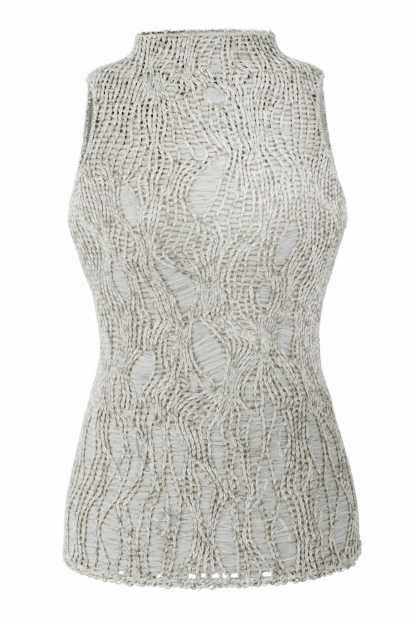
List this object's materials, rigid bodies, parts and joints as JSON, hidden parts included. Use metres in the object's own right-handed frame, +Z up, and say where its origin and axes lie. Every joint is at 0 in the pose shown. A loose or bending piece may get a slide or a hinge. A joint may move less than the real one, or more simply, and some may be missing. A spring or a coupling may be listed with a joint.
{
  "type": "sweater vest",
  "caption": "Sleeveless funnel-neck knitted vest, held hollow as worn, with open armholes, rolled neck edge and scalloped hem.",
  "frame": {"origin": "on the centre line between the shoulders, at the height where they carry the vest", "axes": "+Z up towards the neck, -Y towards the front of the vest, +X towards the viewer's right when looking at the front"},
  "size_m": [0.3488, 0.2363, 0.6415],
  "materials": {
    "knit": "matt undyed plied yarn, hand knitted with dropped stitches",
    "edging": "matt undyed plied yarn, rolled bind-off and crocheted loops"
  },
  "bodies": {
    "root": {"front_panel": "knit", "back_panel": "knit", "neck_edge": "edging", "armhole_edge_left": "edging", "armhole_edge_right": "edging", "hem_edge": "edging"}
  },
  "joints": []
}
